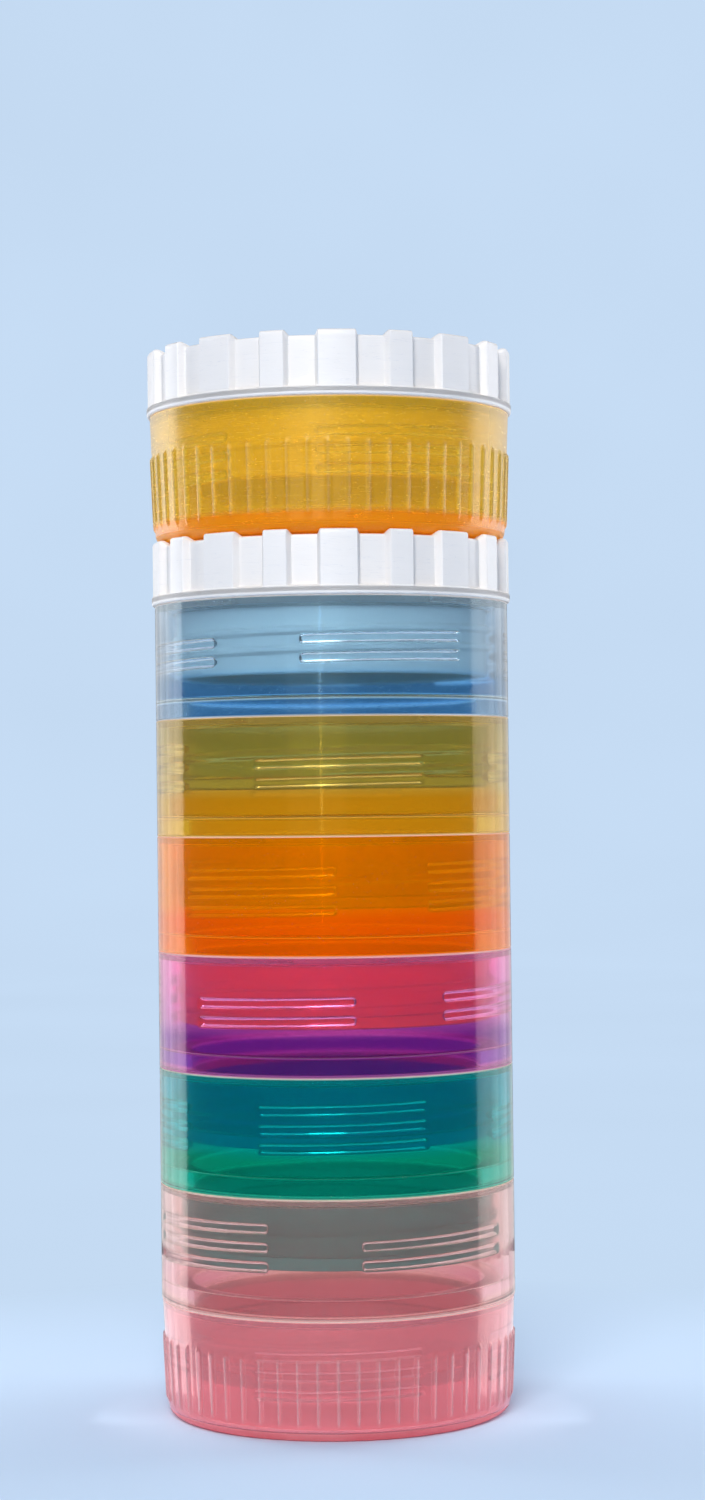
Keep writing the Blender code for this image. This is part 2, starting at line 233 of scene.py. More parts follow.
def addObject(name, mesh, body, node, material):
    piece = bpy.data.objects.new(name, mesh)
    bpy.context.collection.objects.link(piece)
    mesh.materials.append(material)
    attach(piece, body)
    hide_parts(node)
    return piece


def setInputs(sockets, values):
    # A socket among the values is linked, and any other value is set. A colour is always opaque.
    for key, value in values.items():
        if isinstance(value, bpy.types.NodeSocket):
            value.id_data.links.new(value, sockets[key])
        elif sockets[key].type == "RGBA":
            sockets[key].default_value = (*value[:3], 1)
        else:
            sockets[key].default_value = value


def addNode(kind, inputs, settings=None):
    # The node joins the tree of the sockets that it is given.
    tree = next(value.id_data for value in inputs.values() if isinstance(value, bpy.types.NodeSocket))
    node = tree.nodes.new("ShaderNode" + kind)
    for key, value in (settings or {}).items():
        setattr(node, key, value)
    setInputs(node.inputs, inputs)
    return node.outputs


def calculate(operation, *values, clamp=False):
    return addNode("Math", dict(enumerate(values)), {"operation": operation, "use_clamp": clamp})[0]


def times(first, second):
    return calculate("MULTIPLY", first, second)


def mixColours(factor, first, second, blend="MIX"):
    settings = {"data_type": "RGBA", "blend_type": blend}
    return addNode("Mix", {0: factor, 6: first, 7: second}, settings)[2]


def mapRange(value, *limits):
    # The limits are from low, from high, to low and to high.
    return addNode("MapRange", dict(enumerate((value, *limits))))[0]


def lengthOf(vector):
    return addNode("VectorMath", {0: vector}, {"operation": "LENGTH"})["Value"]


def stretched(place, scale, rotation=(0, 0, 0)):
    return addNode("Mapping", {"Vector": place, "Scale": scale, "Rotation": rotation})[0]


def addNoise(place, scale, detail, roughness=0.5):
    return addNode("TexNoise", {"Vector": place, "Scale": scale, "Detail": detail, "Roughness": roughness})[0]


def addBump(height, strength, distance, below=None):
    # Relief on the plain surface, or on top of another relief's normal.
    under = {"Normal": below} if below else {}
    return addNode("Bump", {"Height": height, "Strength": strength, "Distance": distance, **under})[0]


def heightAndReach(place):
    # How high a place lies, and how far from the tower's axis.
    x, y, z = addNode("SeparateXYZ", {0: place})
    return z, lengthOf(addNode("CombineXYZ", {0: x, 1: y})[0])


socketKinds = {1: "NodeSocketFloat", 3: "NodeSocketVector", 4: "NodeSocketColor"}


def newGroup(name, inputs, build):
    # A group takes a place and the named inputs, whose kinds follow from the length of their values.
    # It puts out what build makes of them.
    group = bpy.data.node_groups.new(name, "ShaderNodeTree")
    for label, value in {"Place": (0, 0, 0), **inputs}.items():
        kind = socketKinds[np.size(value)]
        group.interface.new_socket(name=label, in_out="INPUT", socket_type=kind).default_value = value
    results = build(group.nodes.new("NodeGroupInput").outputs)
    for label, socket in results.items():
        kind = socketKinds[4 if socket.type == "RGBA" else 1]
        group.interface.new_socket(name=label, in_out="OUTPUT", socket_type=kind)
    setInputs(group.nodes.new("NodeGroupOutput").inputs, results)
    return group


# Each noise row is scale, detail and roughness
flowFacts = {"squash": (1, 1, 3.5), "cloud": (70, 3, 0.55), "fine": (900, 2, 0.6), "cloudRange": (0.35, 0.65),
             "fineRange": (0.3, 0.75)}


def flowParts(given):
    # Slow clouds and fine lines of flow in moulded plastic: a tint that wanders and a gloss that follows.
    squashed = stretched(given["Place"], flowFacts["squash"])
    cloud, fine = addNoise(squashed, *flowFacts["cloud"]), addNoise(squashed, *flowFacts["fine"])
    wander = mapRange(cloud, *flowFacts["cloudRange"], 0, given["Amount"])
    return {"Colour": mixColours(wander, given["Colour"], given["Deeper"]),
            "Roughness": mapRange(fine, *flowFacts["fineRange"], given["Smooth"], given["Dull"]),
            "Height": fine}


fleckDot = (0.15, 0.38)  # from its cell's middle, a fleck is bright to the first and gone at the second


def fleckParts(given):
    # Small bright cells scattered in the plastic: each cell is lit or not by its own random value.
    cells = addNode("TexVoronoi", {"Vector": given["Place"], "Scale": given["Scale"]})
    pick = addNode("SeparateColor", {0: cells["Color"]})
    lit = calculate("LESS_THAN", pick[0], given["Share"])
    mask = times(lit, mapRange(cells["Distance"], *fleckDot, 1, 0))
    return {"Mask": mask, "Height": times(pick[1], mask)}


# Each way is a turn of the noise and how far it is squeezed across that
scuffFacts = {"ways": ((0.5, 18), (-0.9, 22)), "noise": (120, 2, 0.4), "level": 0.62}


def scuffParts(given):
    # Short hairline scratches: a thin band cut out of a stretched, turned noise.
    masks = []
    for turn, squeeze in scuffFacts["ways"]:
        noise = addNoise(stretched(given["Place"], (1, 1, squeeze), (turn, 0, turn)), *scuffFacts["noise"])
        off = calculate("ABSOLUTE", calculate("SUBTRACT", noise, scuffFacts["level"]))
        masks.append(calculate("LESS_THAN", off, given["Width"]))
    return {"Mask": calculate("MAXIMUM", *masks)}


def paintedEdgeHighlightParts(given):
    # Painted highlight along a moulded edge: 1 at one height up the tower and inside a radius, 0 beyond
    # half the line's width.
    height, reach = heightAndReach(given["Place"])
    off = calculate("ABSOLUTE", calculate("SUBTRACT", height, given["Height"]))
    near = calculate("SUBTRACT", 1.0, calculate("DIVIDE", off, given["Half"]), clamp=True)
    return {"Mask": times(near, calculate("LESS_THAN", reach, given["Inside"]))}


def satinZoneParts(given):
    # Faces left unpolished in the mould: 1 between two heights and inside a radius, 0 elsewhere.
    height, reach = heightAndReach(given["Place"])
    above = calculate("GREATER_THAN", height, given["Low"])
    band = times(above, calculate("LESS_THAN", height, given["High"]))
    return {"Mask": times(band, calculate("LESS_THAN", reach, given["Inside"]))}


def paintedRidgeHighlightParts(given):
    # Painted highlight along upright ridges: 1 on each crest, 0 beside it, fading in and out with height.
    x, y, z = addNode("SeparateXYZ", {0: given["Place"]})
    turns = calculate("DIVIDE", calculate("ARCTAN2", x, y), math.tau)
    aside = calculate("PINGPONG", times(turns, given["Count"]), 0.5)
    crest = calculate("SUBTRACT", 1.0, calculate("DIVIDE", aside, given["Half"]), clamp=True)
    rise, fall = (calculate("DIVIDE", calculate("SUBTRACT", over, under), given["Fade"], clamp=True)
                  for over, under in ((z, given["Low"]), (given["High"], z)))
    return {"Mask": times(crest, times(rise, fall))}


mouldFlow = newGroup("mouldFlow", {"Colour": (1, 1, 1, 1), "Deeper": (1, 1, 1, 1), "Amount": 0.3,
                                   "Smooth": 0.1, "Dull": 0.2}, flowParts)
pearlFleck = newGroup("pearlFleck", {"Scale": 2500.0, "Share": 0.1}, fleckParts)
scuff = newGroup("scuff", {"Width": 0.012}, scuffParts)
paintedEdgeHighlight = newGroup("paintedEdgeHighlight", {"Height": 0.0, "Half": 0.0001, "Inside": 0.03}, paintedEdgeHighlightParts)
satinZone = newGroup("satinZone", {"Low": 0.0, "High": 0.001, "Inside": 0.02}, satinZoneParts)
paintedRidgeHighlight = newGroup("paintedRidgeHighlight", {"Count": 8.0, "Half": 0.1, "Low": 0.0, "High": 0.01, "Fade": 0.001},
                     paintedRidgeHighlightParts)


def useGroup(group, place, values):
    return addNode("Group", {"Place": place, **values}, {"node_tree": group})


def useFlow(place, look):
    smooth, dull = look["gloss"]
    return useGroup(mouldFlow, place, {"Colour": look["colour"], "Deeper": look["deeper"],
                                       "Amount": look["wander"], "Smooth": smooth, "Dull": dull})


def startMaterial(name, shaderValues):
    material = bpy.data.materials.new(name)
    material.use_nodes = True
    tree = material.node_tree
    shader = tree.nodes["Principled BSDF"]
    setInputs(shader.inputs, shaderValues)
    return material, shader, tree.nodes.new("ShaderNodeTexCoord").outputs["Object"]


def largest(masks):
    whole = masks[0]
    for mask in masks[1:]:
        whole = calculate("MAXIMUM", whole, mask)
    return whole


# Heights of the deeper tint: a jar's thick floor, and a cup's lower zone, where it also paints shade.
thickAndShadeZone = {"start": 0.0001, "shoulder": (0.0042, 0.0056), "floorEdge": 0.0002}


def thickAndShadePart(place, foot, full, end):
    # How much of a piece's foot takes the deeper tint: 1 from the foot up to full, less and less up to
    # end, and 0 above it and on a boss below. On a jar this is the thick floor; on a cup it is the lower
    # zone, thick near the shoulder, where the tint also paints in shade.
    height = heightAndReach(place)[0]
    return times(mapRange(height, foot - thickAndShadeZone["start"], foot, 0, 1),
                 mapRange(height, foot + full, foot + end, 1, 0))


def tintedPlastic(name, look, paintedLineHeights, satinZones, ridges, thickAndShade):
    # Clear tinted plastic: each wall takes its colour once, and a small part of it is cloudy. Its
    # moulded edges and ridges carry painted highlights as thin paler lines in the colour, the edges
    # also a faint painted glow, and the faces that meet at a seam are satin.
    # Where a wall thickens to a shoulder or a floor the colour is deeper.
    material, shader, place = startMaterial(name, {
        "Transmission Weight": look["clearness"], "IOR": look["ior"], "Specular Tint": look["colour"],
        "Emission Strength": look["paintedGlowStrength"], "Coat Weight": look["haze"],
        "Coat Roughness": look["hazeSpread"]})
    flow = useFlow(place, look)
    fleck = useGroup(pearlFleck, place, {"Scale": look["fleckScale"], "Share": look["fleckShare"]})
    marks = useGroup(scuff, place, {"Width": look["scuffWidth"]})["Mask"]
    sparkle = times(fleck["Mask"], look["fleckAmount"])
    paler = mixColours(sparkle, flow["Colour"], look["fleckColour"])
    # Painted highlights at the moulded edges, as masks by height.
    paintedLines = [useGroup(paintedEdgeHighlight, place, {"Height": height, "Half": half, "Inside": inside})[0]
             for height, half, inside in paintedLineHeights]
    satin = largest([useGroup(satinZone, place, {"Low": low, "High": high, "Inside": inside})[0]
                     for low, high, inside in satinZones])
    thickAndShaded = thickAndShadePart(place, *thickAndShade)
    # Painted glow in a jar's thick floor band, black on a cup.
    paintedFootGlow = mixColours(thickAndShaded, (0, 0, 0), look["paintedFootGlow"])
    # Painted glow along the edge lines, on top of the foot's.
    paintedEdgeGlow = mixColours(largest(paintedLines), paintedFootGlow, look["paintedEdgeGlow"])
    if ridges:
        paintedLines.append(useGroup(paintedRidgeHighlight, place, ridges)[0])
    # The painted highlight lines lighten the colour towards their own paler colour.
    faint = times(largest(paintedLines), look["paintedHighlightAmount"])
    withPaintedHighlights = mixColours(faint, paler, look["paintedHighlightColour"])
    duller = calculate("MULTIPLY_ADD", marks, look["scuffDull"], flow["Roughness"], clamp=True)
    skin = addBump(flow["Height"], look["skin"], look["skinDepth"])
    setInputs(shader.inputs, {
        "Base Color": mixColours(thickAndShaded, withPaintedHighlights, look["thickAndShade"], "MULTIPLY"),
        "Roughness": calculate("MULTIPLY_ADD", satin, look["satin"], duller, clamp=True),
        "Emission Color": paintedEdgeGlow,
        "Normal": addBump(fleck["Height"], look["glint"], look["glintDepth"], skin)})
    return material


# Painted light among these: the highlight lines' colour and amount, and the edge and foot glow with its
# strength.
plainLook = {
    "clearness": 0.88, "ior": 1.34, "wander": 0.35, "gloss": (0.07, 0.12), "fleckScale": 5200.0,
    "fleckShare": 0.05, "fleckColour": (1.0, 1.0, 1.0), "fleckAmount": 0.25, "paintedHighlightAmount": 0.7,
    "paintedHighlightColour": (1.0, 0.93, 0.88), "scuffWidth": 0.002, "scuffDull": 0.12, "skin": 0.005,
    "skinDepth": 0.00004, "glint": 0.15, "glintDepth": 0.0001, "satin": 0.5, "paintedEdgeGlow": (1.0, 0.80, 0.70),
    "paintedGlowStrength": 0.36, "paintedFootGlow": (0.0, 0.0, 0.0), "haze": 0.0, "hazeSpread": 0.30,
}
# Each row is a cup's colour, its clouds' deeper one, its clearness and the tint of its thick lower
# part, which also paints the shade of that zone
lookParts = ("colour", "deeper", "clearness", "thickAndShade")
cupLooks = {
    "rose": ((0.89, 0.65, 0.61), (0.84, 0.60, 0.56), 0.91, (1.0, 0.83, 0.95)),
    "green": ((0.003, 0.56, 0.56), (0.003, 0.52, 0.51), 0.88, (1.0, 0.92, 0.63)),
    "purple": ((1.0, 0.32, 0.65), (0.95, 0.28, 0.60), 0.93, (0.485, 0.25, 0.73)),
    "orange": ((1.0, 0.365, 0.001), (0.98, 0.31, 0.001), 0.73, (1.0, 0.68, 1.0)),
    "yellow": ((0.81, 0.62, 0.147), (0.76, 0.58, 0.13), 0.90, (1.0, 0.83, 0.20)),
    "blue": ((0.56, 0.79, 0.92), (0.52, 0.74, 0.88), 0.97, (0.56, 0.82, 1.0)),
}
jarLooks = {
    "base": {"colour": (1.0, 0.43, 0.47), "deeper": (0.95, 0.38, 0.42), "clearness": 0.74,
             "fleckShare": 0.16, "fleckAmount": 0.5, "glint": 0.3, "paintedHighlightAmount": 1.0,
             "paintedHighlightColour": (1.0, 0.82, 0.84), "thickAndShade": (1.0, 0.80, 0.78), "paintedFootGlow": (0.28, 0.0, 0.0),
             "haze": 0.3},
    "amber": {"colour": (1.0, 0.71, 0.05), "deeper": (0.98, 0.64, 0.045), "clearness": 0.76,
              "fleckShare": 0.22, "fleckAmount": 0.6, "glint": 0.4, "gloss": (0.20, 0.28),
              "fleckColour": (1.0, 0.95, 0.75), "paintedHighlightAmount": 0.6, "paintedHighlightColour": (1.0, 0.90, 0.45),
              "thickAndShade": (1.0, 0.74, 0.1), "paintedFootGlow": (0.34, 0.08, 0.0), "haze": 0.5},
}


def whitePlastic(name, look):
    # Satin white moulding with faint flow, a few grey handling marks and a very fine grain.
    material, shader, place = startMaterial(name, {
        "IOR": look["ior"], "Subsurface Weight": look["softness"], "Subsurface Scale": look["softScale"],
        "Subsurface Radius": look["softRadius"]})
    flow = useFlow(place, look)
    marks = useGroup(scuff, place, {"Width": look["scuffWidth"]})["Mask"]
    faint = times(marks, look["markAmount"])
    setInputs(shader.inputs, {
        "Base Color": mixColours(faint, flow["Colour"], look["markColour"]),
        "Roughness": flow["Roughness"], "Normal": addBump(flow["Height"], *look["skin"])})
    return material


capLook = {"colour": (0.82, 0.79, 0.765), "deeper": (0.78, 0.755, 0.735), "gloss": (0.28, 0.42),
           "softness": 0.15, "scuffWidth": 0.004, "markColour": (0.62, 0.62, 0.66), "markAmount": 0.35,
           "wander": 0.6, "ior": 1.50, "softScale": 0.0006, "softRadius": (1.0, 0.9, 0.85),
           "skin": (0.3, 0.00005)}


def clearRubber(name, look):
    # Soft clear rubber, a little cloudy.
    material, shader, place = startMaterial(name, {
        "Transmission Weight": look["clearness"], "IOR": look["ior"]})
    flow = useFlow(place, look)
    setInputs(shader.inputs, {"Base Color": flow["Colour"], "Roughness": flow["Roughness"]})
    return material


sealLook = {"colour": (0.97, 0.97, 0.95), "deeper": (0.93, 0.93, 0.92), "clearness": 0.9,
            "gloss": (0.12, 0.2), "wander": 0.8, "ior": 1.42}
metalFacts = {"noise": (400, 3, 0.6), "range": (0.3, 0.7), "scuffWidth": 0.01, "skin": (0.2, 0.00003)}


def platedMetal(name, look):
    # Bright metal with a fine grain, which can be squeezed along one way, and hairline scratches.
    material, shader, place = startMaterial(name, {"Metallic": 1.0})
    grain = addNoise(stretched(place, look["grain"]), *metalFacts["noise"])
    marks = useGroup(scuff, place, {"Width": metalFacts["scuffWidth"]})["Mask"]
    blend = mapRange(grain, *metalFacts["range"], 0, 1)
    plain = mixColours(blend, look["colour"], look["deeper"])
    setInputs(shader.inputs, {
        "Base Color": mixColours(marks, plain, look["markColour"]),
        "Roughness": mapRange(grain, *metalFacts["range"], *look["gloss"]),
        "Normal": addBump(grain, *metalFacts["skin"])})
    return material


magnetLook = {"colour": (0.66, 0.64, 0.60), "deeper": (0.58, 0.56, 0.52), "markColour": (0.80, 0.79, 0.76),
              "gloss": (0.18, 0.30), "grain": (1, 1, 1)}
keeperLook = {"colour": (0.60, 0.61, 0.63), "deeper": (0.48, 0.49, 0.52), "markColour": (0.75, 0.76, 0.78),
              "gloss": (0.28, 0.42), "grain": (1, 14, 1)}

coverPlastic = whitePlastic("coverPlastic", capLook)
rubber = clearRubber("clearRubber", sealLook)
nickel = platedMetal("nickelPlate", magnetLook)
steel = platedMetal("keeperSteel", keeperLook)
print("finishes made")


cupShape = {
    "floor": 0.0012,
    "ledge": 0.0022,  # above the lower seam
    "fine": 0.000134,  # spacing of stations where a thread runs
    "floorFillet": 0.0007,
    "gateRadius": 0.0011,  # moulding gate left in the middle of the underside
    "gateDepth": 0.00025,
    "gateSlope": 0.4,  # of its radius
    "gateStations": (0.0003, 0.0005, 0.0008, 0.0011, 0.0014),
}
# Degrees by which the thread at each piece's mouth is turned
phases = {"base": 270.0, "rose": 127.5, "green": 182.6, "purple": 68.0, "orange": 242.0, "yellow": 92.6,
          "blue": 19.0, "amber": 205.0}
phases = {name: math.radians(phase) for name, phase in phases.items()}


def mouthCorners(outerRadius, seam, fine):
    # From the outer wall's top edge over the rim and down the chamfer into the bore.
    rim = seam - tower["seamGap"] / 2
    return [(outerRadius, rim, "seam", "rim"),
            (tower["bore"] + tower["mouthChamfer"], rim, "rim", "chamfer"),
            (tower["bore"], rim - tower["mouthChamfer"], "seam", fine)]


def plainGrid(outline, columns):
    # Every station's radius and height, repeated for every column.
    return [np.repeat(outline[:, part:part + 1], columns.size, axis=1) for part in (0, 1)]


def threadedGrid(outline, columns, seam, mouthPhase, bossPhase):
    # The turned grid with the bars raised in the bore, below the seam over it, and the long ridge on
    # the boss, below height 0.
    angle = columns[None]
    radius, height = plainGrid(outline, columns)
    if mouthPhase is not None:
        onBore = np.isclose(outline[:, 0], tower["bore"], atol=tower["same"]) & (outline[:, 1] > 0)
        low, high = outline[onBore, 1].min(), outline[onBore, 1].max()
        inward = np.minimum(outline[onBore, 1] - low, high - outline[onBore, 1])[:, None]
        height[onBore] += easeIn(inward / thread["shiftFade"]) * barShift(angle, mouthPhase)
        bump = brokenThread(seam - height[onBore], angle, mouthPhase, tower["bore"])
        radius[onBore] -= thread["barHeight"] * bump
    if bossPhase is not None:
        onBoss = np.isclose(outline[:, 0], tower["boss"], atol=tower["same"]) & (outline[:, 1] < 0)
        bump = longThread(-height[onBoss], angle, bossPhase)
        radius[onBoss] += thread["ridgeHeight"] * bump
    return radius, height


def cupOutline(shape):
    # A cup's section: under the boss, up the outside, over the rim and down inside to the floor.
    shoulder, under = tower["seamGap"] / 2, -tower["bossDepth"]
    corners = [(0, under, 0, "flat"), (tower["boss"], under, "boss", shape["fine"]),
               (tower["boss"], shoulder, "small", "step"),
               (tower["cupRadius"], shoulder, "seam", "wall")]
    corners += mouthCorners(tower["cupRadius"], tower["pitch"], shape["fine"])
    corners += [(tower["bore"], shape["ledge"], "round", "step"),
                (tower["well"], shape["ledge"], "lip", "socket"),
                (tower["well"], shape["floor"] + under, shape["floorFillet"], "floor"),
                (0, shape["floor"] + under, 0, 0)]
    return roundedOutline(corners)


def gateMark(radius, height, level, shape):
    # A shallow round dimple in the face at this level, eased over the outer part of its radius.
    ring = easeIn((shape["gateRadius"] - radius) / (shape["gateRadius"] * shape["gateSlope"]))
    return np.where(np.isclose(height, level, atol=tower["near"]), height + shape["gateDepth"] * ring, height)


def makeCup(name, seam, mouthPhase, bossPhase, material):
    outline = cupOutline(cupShape)
    extra = [[r, -tower["bossDepth"]] for r in cupShape["gateStations"]]
    outline = np.concatenate([outline[:1], extra, outline[1:]])
    columns = barColumns(mouthPhase)
    radius, height = threadedGrid(outline, columns, tower["pitch"], mouthPhase, bossPhase)
    height = gateMark(radius, height, -tower["bossDepth"], cupShape)
    mesh = turnedMesh(name + "Cup", radius, height + seam, columns)
    return addObject(name + "Cup", mesh, name + "_cup", name + "_cup", material)


jarShapes = {
    "base": {"height": 0.01365, "mouth": 0.0209, "floor": 0.0010, "band": 0.0041,
             "recess": None, "node": "base_jar", "slot": "rose_plastic"},
    "amber": {"height": 0.0153, "mouth": 0.0214, "floor": 0.0022, "band": 0.0047,
              "recess": (0.0078, 0.0011), "node": "pocket_jar", "slot": "amber_plastic"},
}
jarCommon = {
    "taper": 0.0006, "footRound": 0.0014, "floorFillet": 0.0009, "arcSteps": 6,
    "outside": 0.0002,  # farther out than the bore by this, a station is on the outer wall
    "ridges": 56, "columnsPerRidge": 8, "ridgeHeight": 0.00026, "ridgeWidth": 0.00062,
    "ridgeStart": 0.0015, "ridgeFade": 0.0007,
    "lineHalf": 0.10,  # half a crest line's width, as a share of the ridges' spacing
    "fine": 0.000140,
}


def gripRidges(radius, height, angle, top):
    # Upright ridges: the arc length from the nearest ridge's middle gives a rounded hill, which
    # fades out over a short way at its lower and upper end.
    pitch = math.tau / jarCommon["ridges"]
    aside = np.abs((angle / pitch + 0.5) % 1 - 0.5) * pitch * radius
    hill = easeIn(1 - aside / (jarCommon["ridgeWidth"] / 2))
    rise = easeIn((height - jarCommon["ridgeStart"]) / jarCommon["ridgeFade"])
    fall = easeIn((top - height) / (jarCommon["ridgeFade"] / 2))
    return hill * rise * fall


def makeJar(pieceName, shape, phase, foot, material):
    # The section runs like a cup's. Its outer wall leans out a little and carries the grip ridges.
    wallFoot = shape["mouth"] - jarCommon["taper"]
    if shape["recess"]:
        recessRadius, recessHeight = shape["recess"]
        corners = [(0, recessHeight, 0, "flat"),
                   (recessRadius, recessHeight, "small", "lip"),
                   (recessRadius, 0, "edge", "flat")]
    else:
        corners = [(0, 0, 0, "flat")]
    corners += [(wallFoot, 0, jarCommon["footRound"], "jarWall")]
    corners += mouthCorners(shape["mouth"], shape["height"], jarCommon["fine"])
    corners += [(tower["bore"], shape["floor"], jarCommon["floorFillet"], "floor"),
                (0, shape["floor"], 0, 0)]
    outline = roundedOutline(corners, jarCommon["arcSteps"])
    columns = evenColumns(jarCommon["ridges"] * jarCommon["columnsPerRidge"])
    radius, height = threadedGrid(outline, columns, shape["height"], phase, None)
    outside = outline[:, 0] > tower["bore"] + jarCommon["outside"]
    ridges = gripRidges(radius[outside], height[outside], columns[None], shape["height"] - shape["band"])
    radius[outside] += jarCommon["ridgeHeight"] * ridges
    mesh = turnedMesh(pieceName, radius, height + foot, columns)
    return addObject(pieceName, mesh, shape["node"], shape["node"], material)


capShape = {
    "plugDepth": 0.0088, "plate": 0.0012,
    "face": 0.0069,  # seam to the top face
    "ring": 0.00095, "ringOutset": 0.00036,
    "crownDepth": 0.0010,  # ring's edge in to the wall between the ribs
    "ribInset": 0.0001,  # ring's edge in to a rib's face
    "rise": 0.00055,  # ribs above the top face
    "lip": 0.00081,  # ring's edge in to the rib's inner edge
    "lipRun": 0.0006,  # from there in to the foot of the rib's inner slope
    "wallRuns": (0.0008, 0.0012),  # stations between the ribs that match the lip and that foot
    "crownStart": 0.0004,  # the crown's own stations start this far above the seam
    "ringStep": 0.0002,  # from the ring's top up to the foot of a rib's face or of the wall
    "pairs": 9, "wide": math.radians(11.2), "narrow": math.radians(7.2), "flank": math.radians(1.3),
    "firstWide": math.radians(3.0), "flankColumns": 6, "faceColumns": 9, "gapColumns": 7,
    "socketRadius": 0.0063, "socketWall": 0.0011, "socketDepth": 0.0034, "fine": 0.00016,
    "wellFillet": 0.0006, "ringFillet": 0.00028,
    "ribFillets": (0.0001, 0.0001, 0.00038, 0.0001),
    "wallFillets": (0.00022, 0.0003, 0.0003, 0.00005),
    "runs": (3, 3, 16, 4, 3),  # stations on each run of the crown
    "faceStations": np.linspace(0.0180, 0, 8), "arcSteps": 5, "crease": 38,
}


def crownColumns(shape):
    # Columns crowd on the ribs' flanks: each flank has its own few angles, and the flats have fewer.
    pair, flank = math.tau / shape["pairs"], shape["flank"]
    slope = np.linspace(0, flank, shape["flankColumns"])
    ribs = ((0, shape["wide"] / 2), (pair / 2, shape["narrow"] / 2), (pair, shape["wide"] / 2))
    steps = []
    for (middle, half), (nextMiddle, nextHalf) in zip(ribs, ribs[1:]):
        low, high = middle - half, middle + half
        steps += [low - slope, np.linspace(low, high, shape["faceColumns"])[1:-1], high + slope,
                  np.linspace(high + flank, nextMiddle - nextHalf - flank, shape["gapColumns"])[1:-1]]
    steps = np.concatenate(steps)
    return np.sort((np.arange(shape["pairs"])[:, None] * pair + steps).ravel() + shape["firstWide"])


def ribWeight(angle, shape):
    # 1 on a rib, 0 between ribs, eased over the flanks; wide and narrow ribs take turns.
    pair = math.tau / shape["pairs"]
    place = (angle - shape["firstWide"] + pair / 4) % pair - pair / 4
    weight = np.zeros_like(place)
    for middle, width in ((0, shape["wide"]), (pair / 2, shape["narrow"])):
        weight = np.maximum(weight, easeIn(1 - (np.abs(place - middle) - width / 2) / shape["flank"]))
    return weight


def capOutline(ringRadius, shape, rib):
    # Between the ribs the section steps in above the ring to a lower wall; on a rib it runs on up.
    # Both have the same corners, so a column between them is a plain blend of the two.
    face, under, plugFoot = shape["face"], shape["face"] - shape["plate"], -shape["plugDepth"]
    socketFloor = under - shape["socketDepth"]
    socketOuter = shape["socketRadius"] + shape["socketWall"]
    shoulder = tower["seamGap"] / 2
    corners = [(0, under, 0, "flat"),
               (shape["socketRadius"], under, "small", "socket"),
               (shape["socketRadius"], socketFloor, "small", "lip"),
               (socketOuter, socketFloor, "small", "socket"),
               (socketOuter, under, "round", "flat"),
               (tower["well"], under, shape["wellFillet"], "floor"),
               (tower["well"], plugFoot, "round", "lip"),
               (tower["boss"], plugFoot, "boss", shape["fine"]),
               (tower["boss"], shoulder, "small", "socket"),
               (ringRadius, shoulder, shape["ringFillet"], "edge"),
               (ringRadius, shape["ring"], 0, 0)]
    before = roundedOutline(corners, shape["arcSteps"])[:-1]
    if rib:
        wall, top, lip = ringRadius - shape["ribInset"], face + shape["rise"], ringRadius - shape["lip"]
        inward, fillets = [(lip, top), (lip - shape["lipRun"], face)], shape["ribFillets"]
    else:
        wall, top = ringRadius - shape["crownDepth"], face
        inward, fillets = [(wall - run, face) for run in shape["wallRuns"]], shape["wallFillets"]
    bend = [(ringRadius, shape["crownStart"]), (ringRadius, shape["ring"]),
            (wall, shape["ring"] + shape["ringStep"]), (wall, top), *inward]
    inner = [[r, face] for r in shape["faceStations"]]
    return np.concatenate([before, evenRuns(bend, fillets, shape["runs"]), inner])


def evenRuns(points, fillets, runs, arcSteps=4):
    # A short outline with the same number of stations on each run and arc, whatever its size.
    line = roundedOutline([(*point, fillet, 0) for point, fillet in zip(points, (0, *fillets, 0))], arcSteps)
    parts = [line[:1]]
    for number, count in enumerate(runs):
        start = number * (arcSteps + 1)
        a, b = line[start], line[start + 1]
        parts.append(a + (b - a) * (np.arange(1, count + 1) / count)[:, None])
        parts.append(line[start + 2:start + 2 + arcSteps])
    return np.concatenate(parts)


def makeCap(name, node, ringRadius, seam, phase, material):
    columns = crownColumns(capShape)
    low, high = capOutline(ringRadius, capShape, False), capOutline(ringRadius, capShape, True)
    radius, height = threadedGrid(low, columns, 0.0, None, phase)
    weight = ribWeight(columns, capShape)[None]
    changed = ~np.all(np.isclose(low, high), axis=1)
    radius[changed] = low[changed, :1] * (1 - weight) + high[changed, :1] * weight
    height[changed] = low[changed, 1:] * (1 - weight) + high[changed, 1:] * weight
    mesh = turnedMesh(name, radius, height + seam, columns, crease=capShape["crease"])
    return addObject(name, mesh, node, node, material)


smallParts = {
    "sealColumns": 180, "sealFillet": 0.00006, "magnetRadius": 0.0060, "magnetHeight": 0.0020,
    "coverHeight": 0.0008, "coverDent": 0.00015, "keeperRadius": 0.0075, "keeperHeight": 0.0008,
    "discColumns": 128,
    "arcSteps": (3, 4),  # of a seal's fillets and of a disc's
    "track": (0.62, 0.12),  # middle and half width of a dent, as shares of the disc's radius
}


